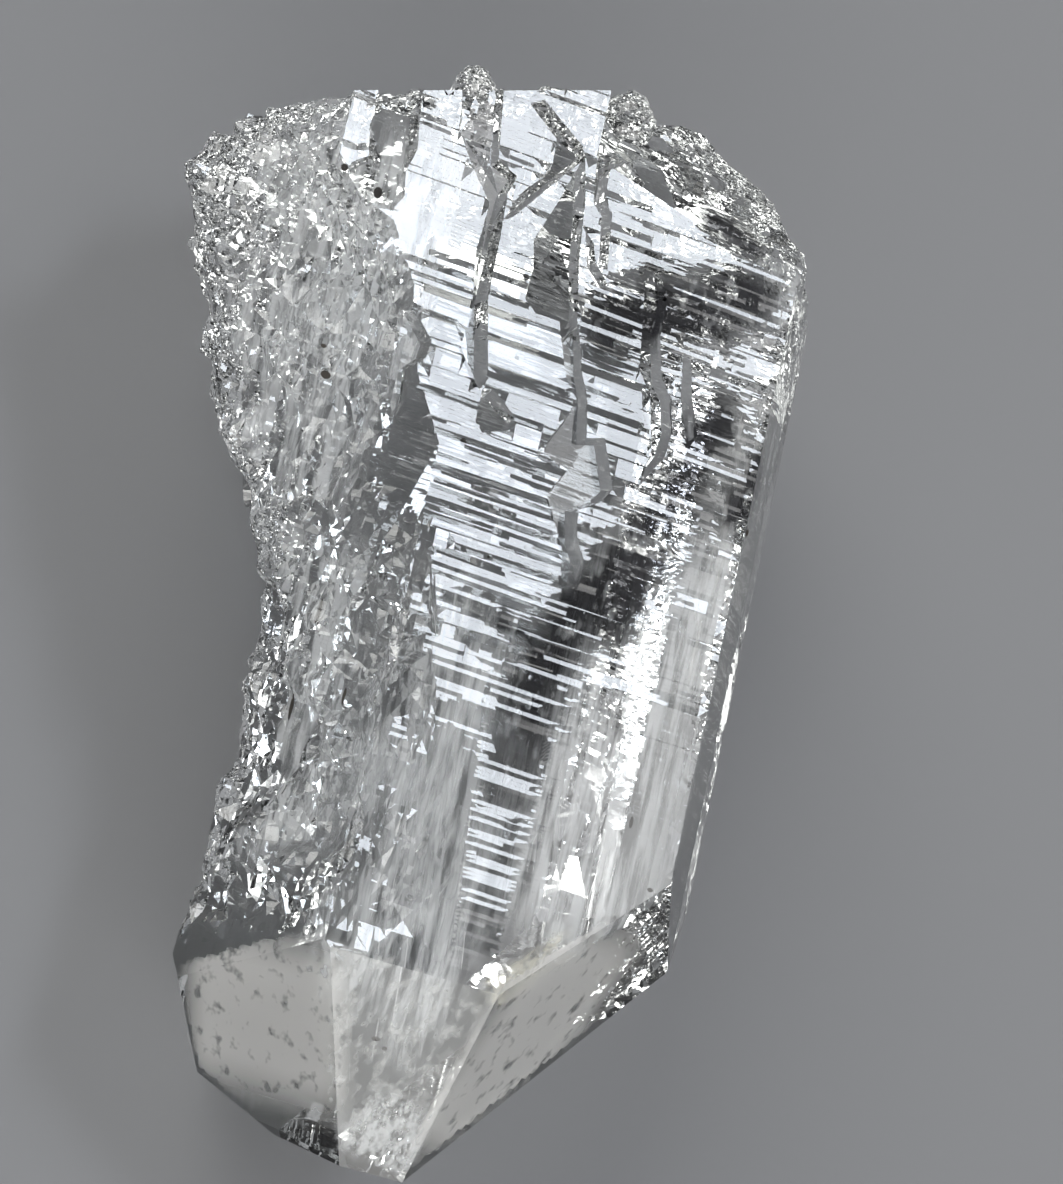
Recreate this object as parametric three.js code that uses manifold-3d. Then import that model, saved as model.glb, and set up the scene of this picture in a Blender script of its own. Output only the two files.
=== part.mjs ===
import * as THREE from 'three';
import { ImprovedNoise } from 'three/addons/math/ImprovedNoise.js';
import { mergeVertices } from 'three/addons/utils/BufferGeometryUtils.js';
import Module from 'manifold-3d';

// An etched quartz crystal that lies on its rear prism face, with its point towards -Y.
// Millimetres. Z is the height over the surface that it lies on, X runs across it, Y along it.
// While it is built, X = 0 is 2.5 mm left of the edge between the front and left prism faces.

// Driving dimensions of the six-sided prism.
const THICKNESS = 24;
const FRONT_LEFT_X = 2.5;
const FRONT_RIGHT_X = 24;
const LEFT_SIDE = 12;
const RIGHT_SIDE = 11;
const PRISM_ANGLE = THREE.MathUtils.degToRad(60);

// Driving dimensions of the point.
const SHOULDER_Y = -24.3;
const RIDGE_Y = -35.8;
const RHOMB_ANGLE = THREE.MathUtils.degToRad(38.2);

// Driving dimensions of the etching.
const ROUGH_EDGE = 1.7;
const HIDDEN_EDGE = 3.2;
const SPLITTING_ROUNDS = 9;
const ROUGH_DEPTH = 1.35;
const FACET_CELL = 3.2;
const CHANNEL_DEPTH = 1.1;
const CHANNEL_WALL = 0.28;
const CLEAR = 3;


const wasm = await Module();
wasm.setup();

const v = (x, y, z) => new THREE.Vector3(x, y, z);
const { clamp, lerp, smoothstep } = THREE.MathUtils;

// --- Solids -------------------------------------------------------------------------------------

function solidOf(geometry) {
  const bare = geometry.clone();
  bare.deleteAttribute('normal');
  bare.deleteAttribute('uv');
  const merged = mergeVertices(bare, 1e-4);
  return new wasm.Manifold(new wasm.Mesh({
    numProp: 3,
    vertProperties: new Float32Array(merged.attributes.position.array),
    triVerts: new Uint32Array(merged.index.array),
  }));
}

function geometryOf(solid) {
  const mesh = solid.getMesh();
  const geometry = new THREE.BufferGeometry();
  geometry.setAttribute('position', new THREE.BufferAttribute(mesh.vertProperties, 3));
  geometry.setIndex(new THREE.BufferAttribute(mesh.triVerts, 1));
  return geometry;
}

// A flat face through a point, with its outward direction.
const face = (outward, at) => ({ outward: outward.clone().normalize(), at });

// A flat face through three points, turned away from the middle of the prism.
const MIDDLE = v(13, 0, 12);
function faceThrough(a, b, c) {
  const outward = b.clone().sub(a).cross(c.clone().sub(a));
  if (outward.dot(MIDDLE.clone().sub(a)) > 0) outward.negate();
  return face(outward, a);
}

// The convex crystal that a list of flat faces bounds.
function crystalOf(faces) {
  let solid = solidOf(new THREE.BoxGeometry(200, 200, 200));
  for (const { outward, at } of faces) {
    solid = solid.trimByPlane([-outward.x, -outward.y, -outward.z], -outward.dot(at));
  }
  return solid;
}

// --- The prism with its point --------------------------------------------------------------------

const sideways = Math.sin(PRISM_ANGLE);
const upwards = Math.cos(PRISM_ANGLE);
const leftRidge = v(FRONT_LEFT_X - LEFT_SIDE * upwards, 0, THICKNESS - LEFT_SIDE * sideways);
const rightRidge = v(FRONT_RIGHT_X + RIGHT_SIDE * upwards, 0, THICKNESS - RIGHT_SIDE * sideways);

const front = face(v(0, 0, 1), v(0, 0, THICKNESS));
const prismFaces = [
  front,
  face(v(0, 0, -1), v(0, 0, 0)),
  face(v(-sideways, 0, upwards), leftRidge),
  face(v(-sideways, 0, -upwards), leftRidge),
  face(v(sideways, 0, upwards), rightRidge),
  face(v(sideways, 0, -upwards), rightRidge),
];

const ridgeZ = THICKNESS - (SHOULDER_Y - RIDGE_Y) * Math.tan(RHOMB_ANGLE);
const ridgeLeft = v(9.8, RIDGE_Y, ridgeZ);
const ridgeRight = v(14.1, RIDGE_Y, ridgeZ);
const shoulderLeft = v(3, SHOULDER_Y, THICKNESS);
const shoulderMiddle = v(14.3, SHOULDER_Y, THICKNESS);
const shoulderRight = v(23.1, -15.5, THICKNESS);
const pointFaces = [
  face(v(0, -Math.sin(RHOMB_ANGLE), Math.cos(RHOMB_ANGLE)), ridgeLeft),
  faceThrough(shoulderMiddle, shoulderRight, ridgeRight),
  faceThrough(shoulderLeft, ridgeLeft, v(-2, -28.4, 13.6)),
  faceThrough(ridgeRight, v(26.2, -20.6, 17.5), v(14.1, -26.3, 0)),
  faceThrough(v(7.1, -35.3, 13), v(1, -32.2, 11.3), v(1, -26.6, 0)),
  face(v(0, -0.9, -0.44), ridgeLeft),
  face(v(-0.88, -0.45, -0.3), v(-2.2, -28.2, 13.6)),
];

// --- The broken and etched end -------------------------------------------------------------------

const endFaces = [
  face(v(-0.34, 0.93, 0.1), v(-7.2, 28.9, 22)),
  face(v(-0.08, 0.99, 0.1), v(10, 34.9, 22)),
  face(v(0.52, 0.85, 0.1), v(20.4, 33.8, 20)),
  face(v(0.83, 0.55, 0.1), v(29.3, 29.2, 20)),
  face(v(0.1, 0.8, -0.6), v(10, 34.5, 14)),
  face(v(0.12, 0.48, 0.87), v(14.5, 28.2, THICKNESS)),
];

// The shelf carries the front face on to the left of the prism, beside the end.
const shelfFaces = [
  front,
  face(v(-0.9, 0, 0.43), v(-8.2, 0, THICKNESS)),
  face(v(-0.55, -0.8, 0.2), v(-8.2, 21.5, THICKNESS)),
  face(v(-0.5, 0, -0.86), v(-6, 0, 10)),
  face(v(0, 0, -1), v(0, 0, 3.5)),
  face(v(1, 0, 0), v(8.5, 0, 0)),
  ...endFaces.slice(0, 2),
];

// The side growth leans out to the left of the shelf and runs down to the waist.
const growthFaces = [
  front,
  face(v(-0.37, -0.23, 0.9), v(-8, 25, THICKNESS)),
  face(v(-0.95, -0.06, -0.42), v(-15.9, 20.5, 18)),
  face(v(-0.915, -0.405, -0.42), v(-13.2, 13.6, 18)),
  face(v(-0.863, -0.505, -0.42), v(-8, 3.4, 18)),
  face(v(-0.85, 0.52, -0.3), v(-14.8, 23.8, 18)),
  face(v(-0.343, 0.94, 0.42), v(-10.8, 26.9, 18)),
  face(v(-0.343, 0.94, -0.3), v(-10.8, 26.9, 18)),
  face(v(-0.5, 0, -0.86), v(-14, 0, 9.5)),
  face(v(0, 0, -1), v(0, 0, 3)),
  face(v(1, 0, 0), v(8, 0, 0)),
];

// Rounded glassy knobs that the etching left standing on the end: place, half sizes, turn.
const knobs = [
  { at: v(1.3, 31.6, 19.4), half: v(1.7, 3.1, 2.3), turn: 0.25 },
  { at: v(10.9, 33.8, 21.2), half: v(2, 2.1, 2.2), turn: 0 },
  { at: v(5.6, 32.9, 21.2), half: v(1.7, 1.5, 2.2), turn: 0 },
];

function knobSolid({ at, half, turn }) {
  const knob = new THREE.IcosahedronGeometry(1, 2);
  knob.scale(half.x, half.y, half.z);
  knob.rotateZ(turn);
  knob.translate(at.x, at.y, at.z);
  return solidOf(knob);
}

// --- Rough etching on the left side and on the end ------------------------------------------------

// Where the rough etching starts on the front face, as X at a falling Y.
const ROUGH_BORDER = [
  [30, -7.9], [25.9, -9.4], [23.6, -8], [21.6, -6], [20.4, -3], [16.5, -1.2], [14.3, 0.2], [11.3, -0.6],
  [4.9, 0.4], [3.1, 3.1], [-1.6, 4.9], [-7.8, 6], [-13.6, 8.1], [-19.3, 9.5], [-24.3, 6],
];

function roughBorderX(y) {
  const last = ROUGH_BORDER.length - 1;
  const next = ROUGH_BORDER.findIndex(([at]) => at < y);
  if (next === 0) return ROUGH_BORDER[0][1];
  if (next < 0) return ROUGH_BORDER[last][1];
  const [fromY, fromX] = ROUGH_BORDER[next - 1];
  const [toY, toX] = ROUGH_BORDER[next];
  return lerp(fromX, toX, (fromY - y) / (fromY - toY));
}

// 0 on the faces that stay flat, 1 where the etching is deepest.
function roughness(p) {
  const side = smoothstep(roughBorderX(p.y) - p.x, 0.1, 1.6) * smoothstep(p.y, -25, -20);
  const calm = p.y < -11 && p.x > 2.6 ? 0.3 : 1;
  const fromEnd = Math.min(...endFaces.slice(0, 5).map(({ outward, at }) => outward.dot(at) - outward.dot(p)));
  const end = 0.75 * (1 - smoothstep(fromEnd, 0.3, 1.6)) * (p.z > THICKNESS - 0.05 ? 0 : 1);
  return Math.max(side * calm, end) * smoothstep(p.z, 1.5, 5);
}

const scatter = (i, j, k, n) => {
  const s = Math.sin(i * 127.1 + j * 311.7 + k * 74.7 + n * 53.3) * 43758.5453;
  return s - Math.floor(s);
};

// Flat facets with random tilts, each around its own centre in a jittered lattice.
function facets(p, cell) {
  const [ci, cj, ck] = [p.x, p.y, p.z].map((c) => Math.floor(c / cell));
  let nearest = Infinity;
  let height = 0;
  for (let i = ci - 1; i <= ci + 1; i += 1) {
    for (let j = cj - 1; j <= cj + 1; j += 1) {
      for (let k = ck - 1; k <= ck + 1; k += 1) {
        const away = v(
          p.x / cell - i - scatter(i, j, k, 1),
          p.y / cell - j - scatter(i, j, k, 2),
          p.z / cell - k - scatter(i, j, k, 3),
        );
        if (away.lengthSq() < nearest) {
          nearest = away.lengthSq();
          const tilt = v(scatter(i, j, k, 4) - 0.5, scatter(i, j, k, 5) - 0.5, scatter(i, j, k, 6) - 0.5);
          height = 2 * tilt.dot(away) + 0.8 * (scatter(i, j, k, 7) - 0.5);
        }
      }
    }
  }
  return height;
}

const noise = new ImprovedNoise();
const lumps = (p, size) => noise.noise(p.x / size + 7.3, p.y / size + 2.9, p.z / size + 5.1);

const etching = (p) => 0.9 * lumps(p, 5.5) + 0.5 * lumps(p, 2.3) + 0.75 * facets(p, FACET_CELL) - 0.42;

// Halves the edges that are too long for the place where they lie.
function refined(solid, longest) {
  const geometry = geometryOf(solid);
  const points = [];
  for (let i = 0; i < geometry.attributes.position.count; i += 1) {
    points.push(v(0, 0, 0).fromBufferAttribute(geometry.attributes.position, i));
  }
  let triangles = [];
  for (let i = 0; i < geometry.index.count; i += 3) {
    triangles.push([geometry.index.getX(i), geometry.index.getX(i + 1), geometry.index.getX(i + 2)]);
  }
  for (let round = 0; round < SPLITTING_ROUNDS; round += 1) {
    const halves = new Map();
    const key = (a, b) => (a < b ? `${a} ${b}` : `${b} ${a}`);
    for (const [a, b, c] of triangles) {
      // Only the longest edge of a triangle is halved, so that none grows thin.
      const sides = [[a, b], [b, c], [c, a]].map(([from, to]) => ({ from, to, long: points[from].distanceTo(points[to]) }));
      const { from, to, long } = sides.sort((one, other) => other.long - one.long)[0];
      const at = points[from].clone().lerp(points[to], 0.5);
      if (!halves.has(key(from, to)) && long > longest(at, points[from], points[to])) {
        halves.set(key(from, to), points.push(at) - 1);
      }
    }
    const half = (a, b) => halves.get(key(a, b)) ?? -1;
    triangles = triangles.flatMap(([a, b, c]) => split(points, a, b, c, half(a, b), half(b, c), half(c, a)));
  }
  return { points, triangles };
}

// The triangles that a triangle falls into when some of its edges are halved (-1 where one isn't).
function split(points, a, b, c, ab, bc, ca) {
  if (ab < 0 && bc < 0 && ca < 0) return [[a, b, c]];
  // Turned until the halved edges come first.
  if (ab < 0) return split(points, b, c, a, bc, ca, ab);
  if (bc < 0 && ca < 0) return [[a, ab, c], [ab, b, c]];
  if (bc < 0) return split(points, c, a, b, ca, ab, bc);
  if (ca < 0) {
    const shorter = points[a].distanceTo(points[bc]) < points[ab].distanceTo(points[c]);
    return shorter ? [[ab, b, bc], [a, ab, bc], [a, bc, c]] : [[ab, b, bc], [a, ab, c], [ab, bc, c]];
  }
  return [[a, ab, ca], [ab, b, bc], [ca, bc, c], [ab, bc, ca]];
}

function etched(solid) {
  const longest = (at, a, b) => {
    if (Math.max(roughness(at), roughness(a), roughness(b)) < 0.02) return Infinity;
    return at.z > 12.5 && at.y < 34 ? ROUGH_EDGE : HIDDEN_EDGE;
  };
  const { points, triangles } = refined(solid, longest);
  const geometry = new THREE.BufferGeometry();
  geometry.setAttribute('position', new THREE.Float32BufferAttribute(points.flatMap((p) => [p.x, p.y, p.z]), 3));
  geometry.setIndex(triangles.flat());
  geometry.computeVertexNormals();
  const outward = v(0, 0, 0);
  points.forEach((p, i) => {
    outward.fromBufferAttribute(geometry.attributes.normal, i);
    p.addScaledVector(outward, ROUGH_DEPTH * roughness(p) * clamp(etching(p), -1, 0.35));
    geometry.attributes.position.setXYZ(i, p.x, p.y, Math.min(p.z, THICKNESS));
  });
  return solidOf(geometry);
}

// --- Channels etched into the front face ---------------------------------------------------------

// Outlines on the front face, X and Y, with the way that the floor leans.
const channels = [
  { lean: [0.05, -0.08], outline: [
    [-6.9, 31.5], [-4, 31.5], [-3.5, 27.3], [-3.3, 26.1], [-3.7, 24.3], [-3.4, 22.8], [-4, 21.6], [-5.6, 21.3],
    [-7.4, 23], [-7.3, 23.7], [-6.3, 24.5], [-6.7, 26.5], [-6.6, 27.4]] },
  { lean: [-0.06, 0.1], outline: [
    [-1.6, 32.8], [1.2, 33], [2.1, 27.2], [3.6, 26.6], [3.2, 25.3], [3.4, 21.9], [3.5, 18.1], [4.7, 13.1],
    [4.3, 12.2], [2.4, 14.6], [2.7, 16.6], [2, 21], [2.2, 24.2], [0.6, 26.1], [-0.9, 28.2]] },
  { lean: [0.1, 0.03], outline: [
    [3.3, 31.6], [4.2, 32.2], [7.4, 30.1], [7.8, 29.4], [6.5, 27.6], [5.1, 25.6], [3.9, 23.9], [3.3, 23.5],
    [4, 25.5], [5.1, 27], [5.7, 28.2], [5.6, 29.9]] },
  { lean: [0.08, -0.06], outline: [
    [7.7, 29.6], [8.4, 26.7], [8.9, 22.5], [9.8, 18.1], [9, 16.9], [8.5, 18.3], [6.8, 18.3], [5.9, 19],
    [6, 21.1], [5.6, 22.9], [6.7, 26.1]] },
  { lean: [-0.08, 0.04], outline: [
    [8.9, 17.2], [9.8, 18.5], [10.8, 15.4], [11.5, 13.9], [12, 11.5], [13.2, 11.9], [14.5, 8.8], [13.8, 7.7],
    [12.4, 6.7], [12.9, 4.9], [13.6, 3.8], [13.7, 1.1], [12.7, 0.8], [12, 4], [10.9, 6], [10.2, 7.1],
    [11.2, 9.1], [9.4, 9.6], [9.5, 10.5], [10.3, 12.2], [10.8, 13.7], [9.7, 15]] },
  { lean: [0.1, 0.05], outline: [
    [13.6, 22.9], [14.4, 24], [15.4, 22.1], [15.4, 19.7], [16.1, 17], [17, 15.9], [17.6, 13.9], [17.5, 12.1],
    [16.2, 9.6], [16.5, 12.2], [15.6, 15.6], [14.6, 16.9], [14.2, 19]] },
  { lean: [0.05, 0.05], outline: [
    [17.2, 19.1], [17.9, 18.7], [18.4, 16.5], [19.4, 14], [18.9, 13], [18.3, 14.1], [17.7, 16]] },
  { lean: [0.04, 0.1], outline: [
    [8.6, 29.3], [10.8, 30.8], [11.1, 30.2], [9.6, 29.2], [9.7, 27.1], [10.4, 26.4], [10.9, 22.7], [10.3, 22.6],
    [9.7, 26], [9, 26.7]] },
  { lean: [0, 0.1], outline: [
    [9.6, 24.1], [10, 22.9], [11.2, 21.7], [10.8, 21.3], [9.5, 22.4], [8.9, 24.6]] },
  { lean: [-0.1, 0], outline: [
    [-1.9, 15.9], [-1, 15.8], [0.5, 14.3], [0.4, 13.1], [-0.3, 12.3], [0, 10.1], [-0.2, 8.7], [0.4, 4.9],
    [-0.5, 4.6], [-1.6, 9.6], [-1.8, 12.9]] },
  { lean: [0.2, -0.2], outline: [[4.5, 12.4], [5.2, 12.6], [7.1, 11.2], [6.8, 10.3], [5.1, 9.6], [4.5, 10.4]] },
];

// A cutter with the outline at the front face, which narrows towards its leaning floor.
function channelCutter({ lean: [alongX, alongY], outline }) {
  const shape = new THREE.Shape(outline.map(([x, y]) => new THREE.Vector2(x, y)));
  const cutter = new THREE.ExtrudeGeometry(shape, {
    depth: CLEAR,
    bevelThickness: CHANNEL_DEPTH,
    bevelSize: CHANNEL_WALL,
    bevelOffset: -CHANNEL_WALL,
    bevelSegments: 1,
  });
  cutter.computeBoundingBox();
  const centre = cutter.boundingBox.getCenter(v(0, 0, 0));
  const { position } = cutter.attributes;
  for (let i = 0; i < position.count; i += 1) {
    const floor = position.getZ(i) < -0.5 * CHANNEL_DEPTH;
    const rise = floor ? alongX * (position.getX(i) - centre.x) + alongY * (position.getY(i) - centre.y) : 0;
    position.setZ(i, THICKNESS + position.getZ(i) + clamp(rise, -0.6, 0.6));
  }
  return solidOf(cutter);
}

// --- Growth ledges across the faces ---------------------------------------------------------------

// Ledges on the front face: the Y of their wall, where they start and end in X, their drop.
const ledges = [
  [27.4, 8.2, 13, 0.16], [25.4, 9.6, 13.4, 0.2], [22.2, 11, 15.2, 0.16], [19.6, -1, 8.5, 0.15],
  [17.2, -0.8, 6.4, 0.2], [15.6, 3, 15, 0.16], [13.2, 4, 15.6, 0.2], [11, 0, 9, 0.2],
  [8.6, 2, 14, 0.16], [6.4, -0.2, 11, 0.2], [4.2, 1, 12.4, 0.16], [1.8, 5, 15, 0.2],
  [-0.6, 6.2, 14, 0.15], [-3.4, 6.5, 12, 0.16], [20.8, 15.6, 21, 0.2], [18.2, 17.9, 22, 0.2],
];
const LEDGE_WIDTH = 0.6;

function ledgeCutter([y, fromX, toX, drop]) {
  const wedge = new THREE.Shape([
    new THREE.Vector2(0, CLEAR),
    new THREE.Vector2(0, -drop),
    new THREE.Vector2(LEDGE_WIDTH, CLEAR * 0.02),
    new THREE.Vector2(LEDGE_WIDTH, CLEAR),
  ]);
  const cutter = new THREE.ExtrudeGeometry(wedge, { depth: toX - fromX, bevelEnabled: false });
  // The wedge's own X runs along the crystal and its extrusion across it.
  cutter.applyMatrix4(new THREE.Matrix4().makeBasis(v(0, 1, 0), v(0, 0, 1), v(1, 0, 0)));
  cutter.translate(fromX, y, THICKNESS);
  return solidOf(cutter);
}

// --- The crystal ----------------------------------------------------------------------------------

function build() {
  let solid = crystalOf([...prismFaces, ...pointFaces, ...endFaces]);
  solid = solid.add(crystalOf(shelfFaces));
  solid = solid.add(crystalOf(growthFaces));
  solid = etched(solid);
  for (const knob of knobs) solid = solid.add(knobSolid(knob));
  for (const channel of channels) solid = solid.subtract(channelCutter(channel));
  for (const ledge of ledges) solid = solid.subtract(ledgeCutter(ledge));
  return solid;
}

const solid = build();
const geometry = geometryOf(solid);
geometry.computeBoundingBox();
const { min, max } = geometry.boundingBox;
// The origin is under the middle of the crystal, on the surface that it lies on.
geometry.translate(-(min.x + max.x) / 2, -(min.y + max.y) / 2, -min.z);

const quartz = new THREE.MeshStandardMaterial({ color: 0xdfe4e6, roughness: 0.1, metalness: 0 });
const crystal = new THREE.Mesh(geometry, quartz);
crystal.name = 'quartz_crystal';
const group = new THREE.Group();
group.add(crystal);
export default group;
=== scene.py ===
import math
import random

import bmesh
import bpy
import numpy as np
from mathutils import Matrix, Vector
from mathutils.bvhtree import BVHTree


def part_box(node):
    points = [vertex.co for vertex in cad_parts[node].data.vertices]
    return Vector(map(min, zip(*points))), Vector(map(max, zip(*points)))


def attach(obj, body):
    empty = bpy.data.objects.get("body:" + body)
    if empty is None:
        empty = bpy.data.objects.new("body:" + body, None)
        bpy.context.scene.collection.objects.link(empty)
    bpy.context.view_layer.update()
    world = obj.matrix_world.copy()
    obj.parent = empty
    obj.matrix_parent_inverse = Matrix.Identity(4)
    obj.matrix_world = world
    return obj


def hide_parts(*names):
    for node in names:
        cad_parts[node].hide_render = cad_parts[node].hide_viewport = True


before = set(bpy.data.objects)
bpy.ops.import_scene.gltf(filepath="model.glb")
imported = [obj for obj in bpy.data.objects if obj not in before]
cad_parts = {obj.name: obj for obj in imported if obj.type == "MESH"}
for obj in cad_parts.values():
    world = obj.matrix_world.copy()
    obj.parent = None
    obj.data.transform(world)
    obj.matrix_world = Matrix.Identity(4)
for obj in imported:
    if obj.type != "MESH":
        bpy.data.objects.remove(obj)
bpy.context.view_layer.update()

MM = 0.001
NODE = "quartz_crystal"

# The solid is drawn about an origin near its front-left edge. Its box is centred in the frame.
box_low, box_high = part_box(NODE)
RIGHT_RIDGE_X = 29.5
RIDGE_Y = -35.8
DRAWN = np.array([box_high.x / MM - RIGHT_RIDGE_X, box_low.y / MM - RIDGE_Y, 0.0])
THICKNESS = 24.0


def placed(x, y, z):
    """A place in the drawing's millimetres, in the frame's metres."""
    return Vector(((x + DRAWN[0]) * MM, (y + DRAWN[1]) * MM, (z + DRAWN[2]) * MM))


# --- Where the finish changes, and where dark reflections are painted -------------------------------

# Where the rough etching starts on the front face: Y, and X at that Y.
ROUGH_BORDER = [
    (-24.3, 6.0), (-19.3, 9.5), (-13.6, 8.1), (-7.8, 6.0), (-1.6, 4.9), (3.1, 3.1), (4.9, 0.4), (11.3, -0.6),
    (14.3, 0.2), (16.5, -1.2), (20.4, -3.0), (21.6, -6.0), (23.6, -8.0), (25.9, -9.4), (30.0, -7.9),
]
# Painted dark reflections: lines in the drawing's X and Y, each with its reach. Along them the front is
# coloured near black, standing for a dark thing mirrored in the crystal.
PAINTED_DARK_REFLECTIONS = [
    ([(20.6, 15.5), (19.0, 10.5), (17.2, 6.0), (15.0, 2.0), (13.2, -1.7), (12.0, -5.3), (12.2, -7.4)], 2.9),
    ([(12.2, 19.2), (14.9, 21.3), (18.1, 22.3), (20.8, 24.4)], 3.6),
    ([(17.5, 28.6), (20.5, 27.7)], 1.9),
    ([(24.2, 13.4), (23.0, 9.6)], 2.2),
    ([(16.4, 0.8), (17.9, 5.6)], 3.2),
    ([(9.0, -1.6), (10.4, -1.9)], 1.2),
]
END_LINE = [(-16.0, 22.0), (-8.0, 27.8), (10.0, 34.2), (20.0, 33.0), (28.0, 28.0)]


def smooth(value, low, high):
    t = np.clip((value - low) / (high - low), 0.0, 1.0)
    return t * t * (3.0 - 2.0 * t)


def roughness_at(p):
    """0 on the faces that stay flat, 1 where the etching is deepest."""
    x, y, z = p.T
    border_y, border_x = zip(*ROUGH_BORDER)
    side = smooth(np.interp(y, border_y, border_x) - x, 0.1, 1.6) * smooth(y, -25.0, -20.0)
    calm = np.where((y < -11.0) & (x > 2.6), 0.3, 1.0)
    end_x, end_y = zip(*END_LINE)
    end = 0.75 * smooth(y - np.interp(x, end_x, end_y), -1.2, 0.2) * (z < THICKNESS - 0.05)
    corner = 0.6 * smooth(4.5 - np.hypot(x - 25.0, (y - 25.5) * 0.8), 0.0, 1.5)
    return np.maximum.reduce([side * calm, end, corner]) * smooth(z, 1.5, 5.0)


# --- Patterns of relief ------------------------------------------------------------------------------


def hashed(cell, salt):
    s = np.sin(cell @ np.array([127.1, 311.7, 74.7]) + salt * 53.3) * 43758.5453
    return s - np.floor(s)


def facets(p, size):
    """Height of flat facets with random tilts, each around its own centre in a jittered lattice."""
    q = p / size
    home = np.floor(q)
    nearest = np.full(len(p), np.inf)
    height = np.zeros(len(p))
    for step in np.ndindex(3, 3, 3):
        cell = home + np.array(step) - 1.0
        centre = cell + np.stack([hashed(cell, salt) for salt in (1, 2, 3)], axis=1)
        away = q - centre
        distance = (away**2).sum(axis=1)
        tilt = np.stack([hashed(cell, salt) for salt in (4, 5, 6)], axis=1) - 0.5
        here = 2.0 * (tilt * away).sum(axis=1) + 0.5 * (hashed(cell, 7) - 0.5)
        closer = distance < nearest
        nearest = np.where(closer, distance, nearest)
        height = np.where(closer, here, height)
    return height


def soft_noise(q):
    """Smooth noise about zero, between values at the corners of unit cells."""
    home = np.floor(q)
    f = q - home
    f = f * f * (3.0 - 2.0 * f)
    total = np.zeros(len(q))
    for corner in np.ndindex(2, 2, 2):
        weight = np.prod(np.where(corner, f, 1.0 - f), axis=1)
        total += weight * (hashed(home + np.array(corner), 9) - 0.5)
    return 2.0 * total


def distance_to_line(p, line):
    """How far each point is from a line of points in the drawing's X and Y."""
    here = p[:, :2]
    nearest = np.full(len(p), np.inf)
    for a, b in zip(np.array(line[:-1]), np.array(line[1:])):
        along = np.clip(((here - a) @ (b - a)) / ((b - a) @ (b - a)), 0.0, 1.0)
        nearest = np.minimum(nearest, np.linalg.norm(here - a - along[:, None] * (b - a), axis=1))
    return nearest


# --- The crystal -------------------------------------------------------------------------------------

FINE_SLICE = 0.5
COARSE_SLICE = 2.0
HIDDEN_TOP = 9.0
FRONT_SLICE = 0.9
STRIATION_Y = (-6.0, 35.0)
STRIATION_WIDTHS = (0.3, 0.45, 0.6, 0.9, 1.3)
STRIATION_TILT = 0.03
STRIATION_DEPTH = 0.05
STEP_WIDTH = 0.09
# Facets of the etched side: how their cells are drawn out along the crystal, and the size and height of two
# kinds.
FACET_STRETCH = (1.0, 0.55, 1.0)
LARGE_FACET = (2.1, 0.34)
SMALL_FACET = (1.0, 0.12)
FACET_SINK = 0.06
# Slow waves of the front face: length and height.
FRONT_WAVE = (4.0, 0.012)
# Painted dark reflections: the share of a line's reach over which the reflection is full, and how far below
# the front it is painted.
DARK_REFLECTION_CORE = 0.35
DARK_REFLECTION_DEPTH = 3.0
STRIATION_FADE = (-9.0, -3.5)
# The upright faces from this X on are a little worn.
WORN_X = 12.0
SIDE_WEAR = 0.08


def merged_copy(node):
    """The solid's own surface, with its loose triangles joined and its flat faces whole."""
    bm = bmesh.new()
    bm.from_mesh(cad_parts[node].data)
    bmesh.ops.remove_doubles(bm, verts=bm.verts, dist=1e-6)
    bmesh.ops.dissolve_limit(bm, angle_limit=math.radians(0.3), verts=bm.verts, edges=bm.edges)
    return bm


def slice_faces(bm, faces, axis, places):
    """Cuts these faces by planes across an axis, from the middle plane out, and gives the resulting faces."""
    if not faces or len(places) == 0:
        return faces
    middle = len(places) // 2
    place = places[middle]
    direction = Vector([1.0 if i == axis else 0.0 for i in range(3)])
    edges = {e for f in faces for e in f.edges}
    verts = {v for f in faces for v in f.verts}
    made = bmesh.ops.bisect_plane(
        bm, geom=faces + list(edges) + list(verts), dist=1e-7, plane_co=direction * place, plane_no=direction
    )
    cut = [g for g in made["geom"] if isinstance(g, bmesh.types.BMFace)]
    below = [f for f in cut if f.calc_center_median()[axis] < place]
    above = [f for f in cut if f.calc_center_median()[axis] >= place]
    return slice_faces(bm, below, axis, places[:middle]) + slice_faces(bm, above, axis, places[middle + 1 :])


def spaced(low, high, step):
    return np.arange(low + 0.37 * step, high, step)


def drawn_points(bm):
    return np.array([v.co for v in bm.verts]) / MM - DRAWN


def striation_places():
    """Where the steps across the front face are: the Y at which each one starts."""
    chance = random.Random(11)
    places = []
    y = STRIATION_Y[0]
    while y < STRIATION_Y[1]:
        places.append(y)
        y += chance.choice(STRIATION_WIDTHS)
    return np.array(places)


def striation_relief(p, places):
    """Bands across the face, each tilted a little, each coming back to the face's level by a steep step."""
    index = np.clip(np.searchsorted(places, p[:, 1] + 0.002, side="right") - 1, 0, len(places) - 2)
    start = places[index]
    width = places[index + 1] - start
    band = np.stack([p[:, 0] * 0.16, index * 5.7, np.zeros(len(p))], axis=1)
    tilt = STRIATION_TILT * soft_noise(band)
    depth = STRIATION_DEPTH * smooth(soft_noise(band + 40.0), -0.05, 0.35)
    t = p[:, 1] - start
    ramp = tilt * (t - 0.5 * width)
    in_step = t < STEP_WIDTH * 0.99
    return np.where(in_step, -depth, ramp)


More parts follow.
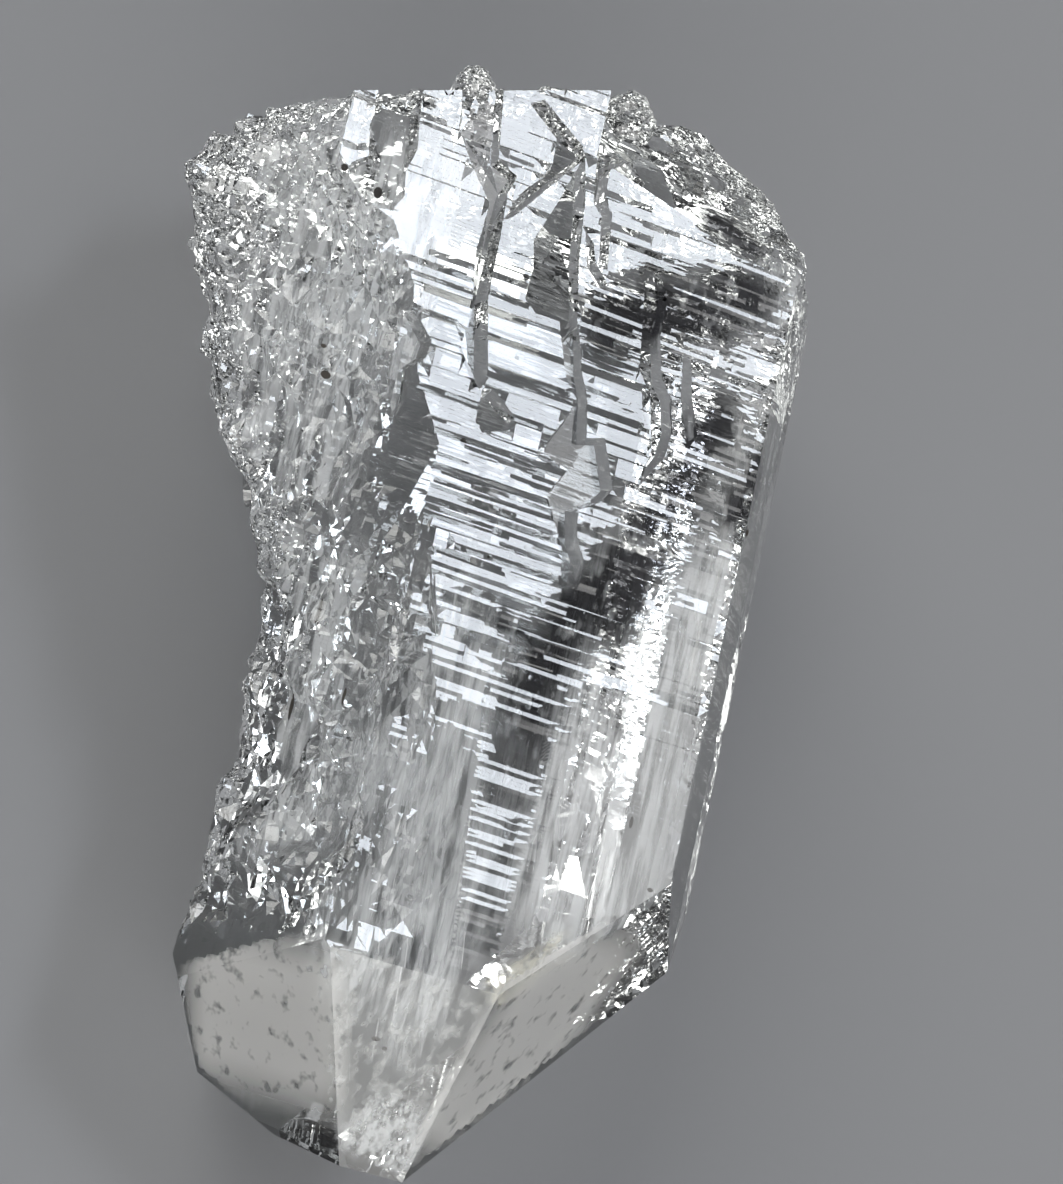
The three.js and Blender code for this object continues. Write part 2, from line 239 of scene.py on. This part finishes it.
def crystal_mesh(steps):
    """The solid's surface in small faces. The front has a pair of edges at each striation."""
    bm = merged_copy(NODE)
    low, high = [np.array(c) / MM for c in (box_low, box_high)]
    front = [f for f in bm.faces if f.normal.z > 0.999 and f.calc_center_median().z > (THICKNESS - 0.05) * MM]
    rest = set(bm.faces) - set(front)
    hidden = [f for f in rest if f.calc_center_median().z <= HIDDEN_TOP * MM]
    shown = [f for f in rest if f.calc_center_median().z > HIDDEN_TOP * MM]
    for axis in range(3):
        shown = slice_faces(bm, shown, axis, spaced(low[axis], high[axis], FINE_SLICE) * MM)
        hidden = slice_faces(bm, hidden, axis, spaced(low[axis], high[axis], COARSE_SLICE) * MM)
    front = [f for f in bm.faces if f.normal.z > 0.999 and f.calc_center_median().z > (THICKNESS - 0.05) * MM]
    front = slice_faces(bm, front, 0, spaced(low[0], high[0], FRONT_SLICE) * MM)
    pairs = np.sort(np.concatenate([steps, steps + STEP_WIDTH])) + DRAWN[1]
    slice_faces(bm, front, 1, pairs * MM)
    bmesh.ops.triangulate(bm, faces=[f for f in bm.faces if len(f.verts) > 4])
    bm.normal_update()
    return bm


def etch(bm, steps):
    """Moves the surface by its relief. Keeps how etched and striated each point is, and where dark
    reflections are painted on.
    """
    bm.verts.index_update()
    p = drawn_points(bm)
    normal = np.array([v.normal for v in bm.verts])
    rough = roughness_at(p)
    long_cells = p * np.array(FACET_STRETCH)
    relief = sum(height * facets(long_cells, size) for size, height in (LARGE_FACET, SMALL_FACET))
    relief = rough * (relief - FACET_SINK)
    on_front = (p[:, 2] > THICKNESS - 0.01) & (rough < 0.3)
    wave_length, wave_height = FRONT_WAVE
    relief[on_front] += striation_relief(p[on_front], steps)
    relief[on_front] += wave_height * soft_noise(p[on_front] / wave_length)
    moved = p + normal * relief[:, None]
    moved[:, 2] = np.clip(moved[:, 2], 0.0, THICKNESS)
    for v, co in zip(bm.verts, (moved + DRAWN) * MM):
        v.co = co
    # Where dark reflections are painted on: near these lines, and only close to the front.
    dark_reflection = np.zeros(len(p))
    for line, reach in PAINTED_DARK_REFLECTIONS:
        dark_reflection = np.maximum(dark_reflection, 1.0 - smooth(distance_to_line(p, line), DARK_REFLECTION_CORE * reach, reach))
    dark_reflection *= p[:, 2] > THICKNESS - DARK_REFLECTION_DEPTH
    striated = smooth(p[:, 1], *STRIATION_FADE) * (1.0 - np.maximum(rough, dark_reflection))
    worn = SIDE_WEAR * (np.abs(normal[:, 2]) < 0.4) * (p[:, 0] > WORN_X)
    for name, values in (("etched", np.maximum(rough, worn)), ("painted_reflection", dark_reflection), ("striated", striated)):
        layer = bm.verts.layers.float.new(name)
        for v, value in zip(bm.verts, values):
            v[layer] = float(value)


def crystal():
    steps = striation_places()
    bm = crystal_mesh(steps)
    etch(bm, steps)
    mesh = bpy.data.meshes.new("quartz_crystal_surface")
    bm.to_mesh(mesh)
    bm.free()
    piece = bpy.data.objects.new("quartz_crystal_surface", mesh)
    bpy.context.scene.collection.objects.link(piece)
    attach(piece, "root")
    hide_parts(NODE)
    return piece


# --- Shader maths ------------------------------------------------------------------------------------


class Value:
    """A socket that takes part in expressions."""

    def __init__(self, shader, socket):
        self.shader = shader
        self.socket = socket

    def math(self, operation, *others, **settings):
        return self.shader.node("ShaderNodeMath", [self, *others], operation=operation, **settings)

    def __add__(self, other):
        return self.math("ADD", other)

    def __sub__(self, other):
        return self.math("SUBTRACT", other)

    def __mul__(self, other):
        return self.math("MULTIPLY", other)

    def __rsub__(self, other):
        return (self * -1.0) + other

    __radd__ = __add__
    __rmul__ = __mul__


class Shader:
    """The node tree of a material or of the world, with one method for every kind of node."""

    def __init__(self, owner):
        owner.use_nodes = True
        self.owner = owner
        self.tree = owner.node_tree
        self.tree.nodes.clear()

    def node(self, kind, values=(), output=0, **settings):
        made = self.tree.nodes.new(kind)
        for name, setting in settings.items():
            setattr(made, name, setting)
        inputs = values.items() if isinstance(values, dict) else enumerate(values)
        for key, value in inputs:
            socket = self.usable(made.inputs, key)
            if isinstance(value, Value):
                self.tree.links.new(value.socket, socket)
            else:
                socket.default_value = value
        return Value(self, self.usable(made.outputs, output))

    @staticmethod
    def usable(sockets, key):
        """The socket with this place or name. A Mix node has one per data type, of which one is enabled."""
        if isinstance(key, int):
            return sockets[key]
        return next(socket for socket in sockets if socket.name == key and socket.enabled)

    def ranged(self, value, low, high):
        """0 up to low, 1 from high on."""
        return self.node("ShaderNodeMapRange", {"Value": value, "From Min": low, "From Max": high})

    def vector(self, operation, first, second, output="Vector"):
        values = {0: first, "Scale" if operation == "SCALE" else 1: second}
        return self.node("ShaderNodeVectorMath", values, operation=operation, output=output)

    def blend(self, factor, first, second):
        values = {"Factor": factor, "A": first, "B": second}
        return self.node("ShaderNodeMix", values, output="Result", data_type="RGBA")

    def shade(self, values):
        self.owner.use_transparent_shadow = False
        surface = self.node("ShaderNodeBsdfPrincipled", values)
        self.out = self.tree.nodes.new("ShaderNodeOutputMaterial")
        self.tree.links.new(surface.socket, self.out.inputs["Surface"])
        return self.owner


X_AXIS = (1.0, 0.0, 0.0)
# Rows follow each other in this direction, so that they also slant down the upright faces.
ROW_AXIS = (0.03, 1.0, 0.3)
ROW_LENGTH = 8.0
ROW_WIDTH = 0.26
ROW_SHIFT = 7.0
ROW_SEED = 17.3
# How much the rows tilt on striated surface, under the painted dark reflections, and on etched surface.
STRIATED_TILT = 0.07
DARK_REFLECTION_TILT = 0.8
ETCHED_TILT = 0.15
CLEAR_COLOUR = (0.97, 0.975, 0.975, 1.0)
# Near-black painted dark reflections, standing for a dark thing mirrored in the crystal, with the scale and
# range of their streaks.
PAINTED_REFLECTION_COLOUR = (0.012, 0.012, 0.014, 1.0)
DARK_REFLECTION_SCALE = (0.75, 0.4, 0.75)
DARK_REFLECTION_RANGE = (0.3, 0.44)
QUARTZ_IOR = 1.544
ABSORPTION_COLOUR = (0.80, 0.82, 0.80, 1.0)
ABSORPTION_DENSITY = 12.0
STREAK_DETAIL = 2.0
WISP_RANGE = 0.22


def drawing_place(s):
    """The drawing's millimetres at each point of a surface."""
    at = s.node("ShaderNodeTexCoord", output="Object")
    return s.node(
        "ShaderNodeMapping", {"Vector": at, "Location": tuple(-DRAWN), "Scale": (1 / MM, 1 / MM, 1 / MM)}
    )


def streaks(s, drawing, scale):
    """Noise drawn out along some directions: a scale for each axis, per millimetre."""
    stretched = s.node("ShaderNodeMapping", {"Vector": drawing, "Scale": scale})
    values = {"Vector": stretched, "Scale": 1.0, "Detail": STREAK_DETAIL, "Roughness": 0.6}
    return s.node("ShaderNodeTexNoise", values)


def tilted_rows(s, drawing):
    """Height of rows across the crystal, broken into lengths. Each length is flat and tilted at random."""
    x, y = (s.vector("DOT_PRODUCT", drawing, axis, output="Value") for axis in (X_AXIS, ROW_AXIS))
    row_place = y * (1.0 / ROW_WIDTH)
    row = row_place.math("FLOOR")
    shift = s.node("ShaderNodeTexWhiteNoise", {"W": row}, noise_dimensions="1D")
    column = (x * (1.0 / ROW_LENGTH) + shift * ROW_SHIFT).math("FLOOR")
    tilt = s.node("ShaderNodeTexWhiteNoise", {"W": row * ROW_SEED + column}, noise_dimensions="1D")
    return (tilt - 0.5) * (row_place - row - 0.5) * ROW_WIDTH


def quartz_material():
    s = Shader(bpy.data.materials.new("quartz"))
    drawing = drawing_place(s)
    etched = s.node("ShaderNodeAttribute", output="Fac", attribute_name="etched")
    striated = s.node("ShaderNodeAttribute", output="Fac", attribute_name="striated")
    painted_reflection = s.node("ShaderNodeAttribute", output="Fac", attribute_name="painted_reflection")
    tilt = striated * STRIATED_TILT + painted_reflection * DARK_REFLECTION_TILT + etched * ETCHED_TILT
    bump_height = tilted_rows(s, drawing) * tilt
    bump = s.node("ShaderNodeBump", {"Height": bump_height, "Strength": 1.0, "Distance": MM})
    # Painted dark reflections: near-black colour in streaks inside the mask.
    dark_reflection = painted_reflection * s.ranged(streaks(s, drawing, DARK_REFLECTION_SCALE), *DARK_REFLECTION_RANGE)
    colour = s.blend(dark_reflection, CLEAR_COLOUR, PAINTED_REFLECTION_COLOUR)
    material = s.shade({
        "Base Color": colour,
        "Roughness": 0.0,
        "IOR": QUARTZ_IOR,
        "Transmission Weight": 1.0,
        "Normal": bump,
    })
    values = {"Color": ABSORPTION_COLOUR, "Density": ABSORPTION_DENSITY}
    absorption = s.node("ShaderNodeVolumeAbsorption", values)
    s.tree.links.new(absorption.socket, s.out.inputs["Volume"])
    return material


def veil_material(name, colour, start, strength, scale):
    """A milky sheet: where its wisps start in the noise, their strength and their scale per millimetre."""
    s = Shader(bpy.data.materials.new(name))
    wisps = s.ranged(streaks(s, drawing_place(s), scale), start, start + WISP_RANGE)
    middle = s.node("ShaderNodeAttribute", output="Fac", attribute_name="middle")
    alpha = wisps * middle * strength
    return s.shade({"Base Color": colour, "Roughness": 0.8, "Specular IOR Level": 0.0, "Alpha": alpha})


# --- Veils inside the crystal ------------------------------------------------------------------------

ALONG = (0.0, 1.0, 0.0)
# The step of a sheet's grid, and how far below the surface a sheet ends.
SHEET_STEP = 0.45
SKIN = 0.2
# How many waves a sheet bends in along each of its directions, and the shares of it that fade at its border.
SHEET_WAVES = (1.6, 2.4, 1.0)
SHEET_FADE = (0.3, 0.2)
THREAD_NORMAL = (0.3, 0.2, 0.9)
THREAD_BEND = 0.05
GRAIN = 0.06
UP = Vector((0.0, 0.0, 1.0))
RAY_STEP = 1e-7
GRAIN_COLOUR = (0.03, 0.024, 0.018, 1.0)
# X and Y of each grain, and its half width and half length.
SPECKS = [
    (-4.9, 10.8, 0.35, 0.28), (-4.9, 22.7, 0.3, 0.4), (-7.6, 23.3, 0.25, 0.25), (4.1, 8.7, 0.22, 0.3),
    (20.5, -11.5, 0.14, 0.4), (24.4, 9.2, 0.2, 0.3), (6.3, 15.1, 0.16, 0.16), (13.1, 13.2, 0.14, 0.14),
    (8.3, -28.4, 0.3, 0.16), (9.1, -28.8, 0.2, 0.14), (22.7, -15.3, 0.2, 0.14), (-0.7, -9.1, 0.14, 1.0),
    (-1.1, -3.4, 0.12, 0.9), (1.1, -8.6, 0.1, 0.6), (-5.6, 12.4, 0.2, 0.14), (9.6, 3.4, 0.1, 0.12),
    (11.0, 24.6, 0.14, 0.1), (7.4, 2.1, 0.09, 0.09), (12.9, 6.5, 0.12, 0.1), (15.6, 17.9, 0.1, 0.1),
]
LEVEL = (0.0, 0.0, 1.0)
LENGTHWISE = (0.1, 1.0, 0.0)
# Normals of the point's three visible faces, and the direction up the middle one.
POINT_FRONT = (0.0, -0.62, 0.79)
POINT_RIGHT = (0.53, -0.53, 0.66)
POINT_LEFT = (-0.5, -0.7, 0.51)
POINT_SLOPE = (0.2, 0.79, 0.62)
# Colour, where the wisps start in the noise, their strength and their scale.
VEIL_FINISHES = {
    "milk": ((0.9, 0.91, 0.92, 1.0), 0.36, 0.75, (1.7, 0.14, 1.7)),
    "white_veil": ((0.9, 0.91, 0.92, 1.0), 0.4, 0.6, (1.6, 0.15, 1.6)),
    "thin_veil": ((0.92, 0.92, 0.9, 1.0), 0.46, 0.5, (1.3, 0.2, 1.3)),
    "beige_veil": ((0.9, 0.885, 0.86, 1.0), 0.22, 0.75, (1.2, 0.3, 1.2)),
    "cream_veil": ((0.88, 0.84, 0.68, 1.0), 0.34, 0.6, (0.8, 0.8, 0.8)),
    "thread": ((0.95, 0.95, 0.95, 1.0), 0.2, 0.9, (1.0, 0.4, 1.0)),
}
# Name, middle, normal, direction of the long side, width and length, how far it bends, material.
VEILS = [
    ("right_haze", (18.5, -6.0, 22.8), LEVEL, LENGTHWISE, (15.0, 34.0), 0.3, "milk"),
    ("right_strip", (23.0, 9.0, 22.9), (0.1, 0.0, 1.0), (0.02, 1.0, 0.0), (3.4, 32.0), 0.1, "thin_veil"),
    ("front_veil", (9.4, -18.5, 19.3), (0.0, -0.14, 1.0), (0.1, 1.0, 0.14), (12.0, 19.0), 0.9, "white_veil"),
    ("middle_veil", (7.5, -8.0, 19.0), (0.2, 0.1, 1.0), LENGTHWISE, (12.0, 22.0), 0.8, "white_veil"),
    ("deep_veil", (8.6, -14.0, 13.5), (0.9, 0.0, 0.5), (0.05, 1.0, 0.0), (9.0, 24.0), 1.4, "white_veil"),
    ("right_deep_veil", (17.5, -8.0, 15.0), (0.75, 0.0, 0.66), LENGTHWISE, (8.0, 24.0), 1.2, "white_veil"),
    ("bright_band", (8.4, -9.5, 22.6), (0.1, 0.0, 1.0), (0.16, 1.0, 0.0), (3.4, 14.0), 0.2, "milk"),
    ("low_front_veil", (8.0, -15.0, 23.0), (0.0, 0.03, 1.0), LENGTHWISE, (13.0, 20.0), 0.4, "white_veil"),
    ("core_veil", (11.5, -22.0, 15.0), (0.7, 0.1, 0.7), LENGTHWISE, (7.0, 15.0), 1.0, "white_veil"),
    ("lens_haze", (8.0, -28.5, 20.0), POINT_FRONT, POINT_SLOPE, (18.0, 16.0), 0.2, "thin_veil"),
    ("tip_veil", (11.8, -33.0, 16.4), POINT_FRONT, POINT_SLOPE, (7.0, 6.0), 0.1, "milk"),
    ("window_veil", (2.6, -28.0, 16.6), POINT_LEFT, (0.6, -0.1, 0.5), (16.0, 13.0), 0.1, "beige_veil"),
    ("point_haze", (18.2, -25.7, 18.8), POINT_RIGHT, (0.23, 0.83, 0.5), (14.0, 22.0), 0.1, "beige_veil"),
    ("left_haze", (-5.5, 15.0, 18.5), (-0.15, 0.0, 1.0), LENGTHWISE, (16.0, 32.0), 0.8, "milk"),
    ("waist_haze", (-0.5, -8.0, 16.5), (-0.3, 0.0, 0.9), (-0.15, 1.0, 0.0), (11.0, 26.0), 0.6, "milk"),
    ("corner_haze", (22.8, 25.0, 22.6), (0.12, 0.48, 0.87), (0.0, 0.87, -0.48), (7.0, 7.0), 0.2, "milk"),
    ("cream_veil", (16.0, -22.0, 22.4), POINT_RIGHT, (0.75, 0.6, 0.1), (3.0, 8.0), 0.2, "cream_veil"),
]
THREADS = [
    ((6.7, -20.5, 19.6), 0.16, 9.0), ((8.7, -21.5, 19.4), 0.22, 13.5), ((12.0, -20.0, 20.4), 0.14, 8.0),
    ((8.9, -27.5, 18.0), 0.18, 4.0), ((10.6, -14.0, 21.0), 0.2, 6.0), ((17.6, -19.0, 21.8), 0.12, 5.0),
]


def facing(normal, along):
    """A rotation whose Z lies along the normal, and whose Y lies as near the other direction as it can."""
    z = Vector(normal).normalized()
    y = Vector(along)
    y = (y - z * y.dot(z)).normalized()
    return Matrix((y.cross(z), y, z)).transposed().to_4x4()


class Solid:
    """The crystal's solid, asked where its surface is."""

    def __init__(self):
        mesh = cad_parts[NODE].data
        corners = [v.co for v in mesh.vertices]
        self.tree = BVHTree.FromPolygons(corners, [list(f.vertices) for f in mesh.polygons])

    def holds(self, point):
        """Whether a line straight up from the point leaves the solid once more than it enters it."""
        crossings = 0
        hit = self.tree.ray_cast(point, UP)[0]
        while hit is not None:
            crossings += 1
            hit = self.tree.ray_cast(hit + UP * RAY_STEP, UP)[0]
        return crossings % 2 == 1

    def depth(self, point):
        """How far a point is below the surface, in millimetres, and 0 outside."""
        return self.tree.find_nearest(point)[3] / MM if self.holds(point) else 0.0

    def top(self, x, y):
        """The height of the surface at the drawing's X and Y."""
        hit = self.tree.ray_cast(placed(x, y, 2.0 * THICKNESS), -UP)[0]
        return hit.z / MM


def add_sheet(solid, name, centre, normal, along, size, bend, material):
    """A thin bent sheet inside the crystal. It fades out towards its own border and the crystal's surface."""
    bm = bmesh.new()
    columns, rows = (max(2, round(s / SHEET_STEP)) for s in size)
    bmesh.ops.create_grid(bm, x_segments=columns, y_segments=rows, size=0.5)
    grid = np.array([v.co for v in bm.verts])
    waves = soft_noise(grid * np.array(SHEET_WAVES) + np.array(centre))
    across, lengthwise = (smooth(0.5 - np.abs(grid[:, i]), 0.0, SHEET_FADE[i]) for i in range(2))
    middle = across * lengthwise
    for v, wave in zip(bm.verts, waves):
        v.co = Vector((v.co.x * size[0], v.co.y * size[1], bend * wave)) * MM
    place = Matrix.Translation(placed(*centre)) @ facing(normal, along)
    bmesh.ops.transform(bm, matrix=place, verts=bm.verts)
    depth = np.array([solid.depth(v.co) for v in bm.verts])
    layer = bm.verts.layers.float.new("middle")
    for v, value in zip(bm.verts, middle * smooth(depth, SKIN, 3.0 * SKIN)):
        v[layer] = float(value)
    bmesh.ops.delete(bm, geom=[v for v, d in zip(bm.verts, depth) if d < SKIN], context="VERTS")
    bmesh.ops.delete(bm, geom=[e for e in bm.edges if not e.link_faces], context="EDGES")
    bmesh.ops.delete(bm, geom=[v for v in bm.verts if not v.link_faces], context="VERTS")
    mesh = bpy.data.meshes.new(name)
    bm.to_mesh(mesh)
    bm.free()
    mesh.materials.append(material)
    piece = bpy.data.objects.new(name, mesh)
    bpy.context.scene.collection.objects.link(piece)
    piece.visible_diffuse = False
    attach(piece, "root")


def add_specks(solid):
    """Dark grains just below the surface that the solid has before it is etched."""
    bm = bmesh.new()
    for x, y, width, length in SPECKS:
        shape = Matrix.Diagonal((width * MM, length * MM, GRAIN * MM, 1.0))
        place = Matrix.Translation(placed(x, y, solid.top(x, y) - 2.0 * GRAIN))
        bmesh.ops.create_icosphere(bm, subdivisions=2, radius=1.0, matrix=place @ shape)
    mesh = bpy.data.meshes.new("specks")
    bm.to_mesh(mesh)
    bm.free()
    s = Shader(bpy.data.materials.new("grain"))
    mesh.materials.append(s.shade({"Base Color": GRAIN_COLOUR, "Roughness": 0.7}))
    piece = bpy.data.objects.new("specks", mesh)
    bpy.context.scene.collection.objects.link(piece)
    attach(piece, "root")


def add_veils():
    materials = {name: veil_material(name, *finish) for name, finish in VEIL_FINISHES.items()}
    solid = Solid()
    for *place, material in VEILS:
        add_sheet(solid, *place, materials[material])
    for index, (centre, *size) in enumerate(THREADS):
        place = (f"thread_{index}", centre, THREAD_NORMAL, ALONG, size, THREAD_BEND)
        add_sheet(solid, *place, materials["thread"])
    add_specks(solid)


# --- Floor, light and camera -------------------------------------------------------------------------

FLOOR_SIZE = 1.6
FLOOR_DROP = 0.00002
FLOOR_COLOUR = (0.185, 0.187, 0.194, 1.0)
CAMERA_TARGET = (13.672, 3.1, 15.674)
CAMERA_DISTANCE = 256.0
CAMERA_TURN = math.radians(20.0)
CAMERA_TILT = math.radians(15.0)
CAMERA_ROLL = math.radians(12.6)
CAMERA_LENS = 120.0
SKY_COLOUR = (0.36, 0.365, 0.38)
SHARP = 0.01
SOFT = 0.12
# The sky's light panels: direction, direction of the long side, half width and half length as tangents,
# how soft the edge is, and the light.
KEY_ALONG = (0.336, 0.942, 0.0)
PANELS = [
    ((0.34, 0.435, 1.0), KEY_ALONG, 0.074, 0.1375, SHARP, (12.4, 13.2, 14.3)),
    ((0.492, 0.236, 1.0), KEY_ALONG, 0.094, 0.141, SOFT, (3.0, 3.0, 3.0)),
    ((-1.0, 1.0, 1.0), (0.0, 1.0, 0.0), 0.38, 0.45, 0.5, (6.5, 6.5, 6.3)),
    ((0.15, -1.0, 0.5), (1.0, 0.0, 0.0), 0.3, 1.0, SOFT, (3.8, 3.8, 3.7)),
]


def add_camera():
    data = bpy.data.cameras.new("camera")
    data.lens = CAMERA_LENS
    data.clip_start = 0.01
    data.clip_end = 20.0
    camera = bpy.data.objects.new("camera", data)
    turned = Matrix.Rotation(-CAMERA_TURN, 4, "Y") @ Matrix.Rotation(CAMERA_TILT, 4, "X")
    turned = turned @ Matrix.Rotation(CAMERA_ROLL, 4, "Z")
    back = turned.col[2].to_3d()
    camera.matrix_world = Matrix.Translation(placed(*CAMERA_TARGET) + back * CAMERA_DISTANCE * MM) @ turned
    bpy.context.scene.collection.objects.link(camera)
    bpy.context.scene.camera = camera


def add_floor():
    bm = bmesh.new()
    bmesh.ops.create_grid(bm, x_segments=1, y_segments=1, size=FLOOR_SIZE / 2)
    bmesh.ops.translate(bm, verts=bm.verts, vec=(0.0, 0.0, -FLOOR_DROP))
    mesh = bpy.data.meshes.new("floor")
    bm.to_mesh(mesh)
    bm.free()
    floor = bpy.data.objects.new("floor", mesh)
    bpy.context.scene.collection.objects.link(floor)
    s = Shader(bpy.data.materials.new("pale_floor"))
    floor.data.materials.append(s.shade({"Base Color": FLOOR_COLOUR, "Roughness": 0.7}))


def panel(s, way, direction, along, half_width, half_length, edge, light):
    """A rectangular panel in the sky: its light inside, and none outside."""
    axes = facing(direction, along).to_3x3().col
    x, y, z = (s.vector("DOT_PRODUCT", way, tuple(axis), output="Value") for axis in axes)
    inside_width = s.ranged(z * half_width - x.math("ABSOLUTE"), 0.0, edge * half_width)
    inside_length = s.ranged(z * half_length - y.math("ABSOLUTE"), 0.0, edge * half_length)
    return s.vector("SCALE", light, inside_width * inside_length)


def add_sky():
    world = bpy.data.worlds.new("studio")
    bpy.context.scene.world = world
    s = Shader(world)
    way = s.node("ShaderNodeTexCoord", output="Generated")
    light = SKY_COLOUR
    for settings in PANELS:
        light = s.vector("ADD", light, panel(s, way, *settings))
    sky = s.node("ShaderNodeBackground", {"Color": light})
    out = s.tree.nodes.new("ShaderNodeOutputWorld")
    s.tree.links.new(sky.socket, out.inputs["Surface"])


surface = crystal()
surface.data.materials.clear()
surface.data.materials.append(quartz_material())
add_veils()
add_floor()
add_sky()
add_camera()
bpy.context.scene.view_settings.view_transform = "Standard"
bpy.context.scene.cycles.max_bounces = 5
bpy.context.scene.cycles.diffuse_bounces = 1
bpy.context.scene.cycles.use_light_tree = False
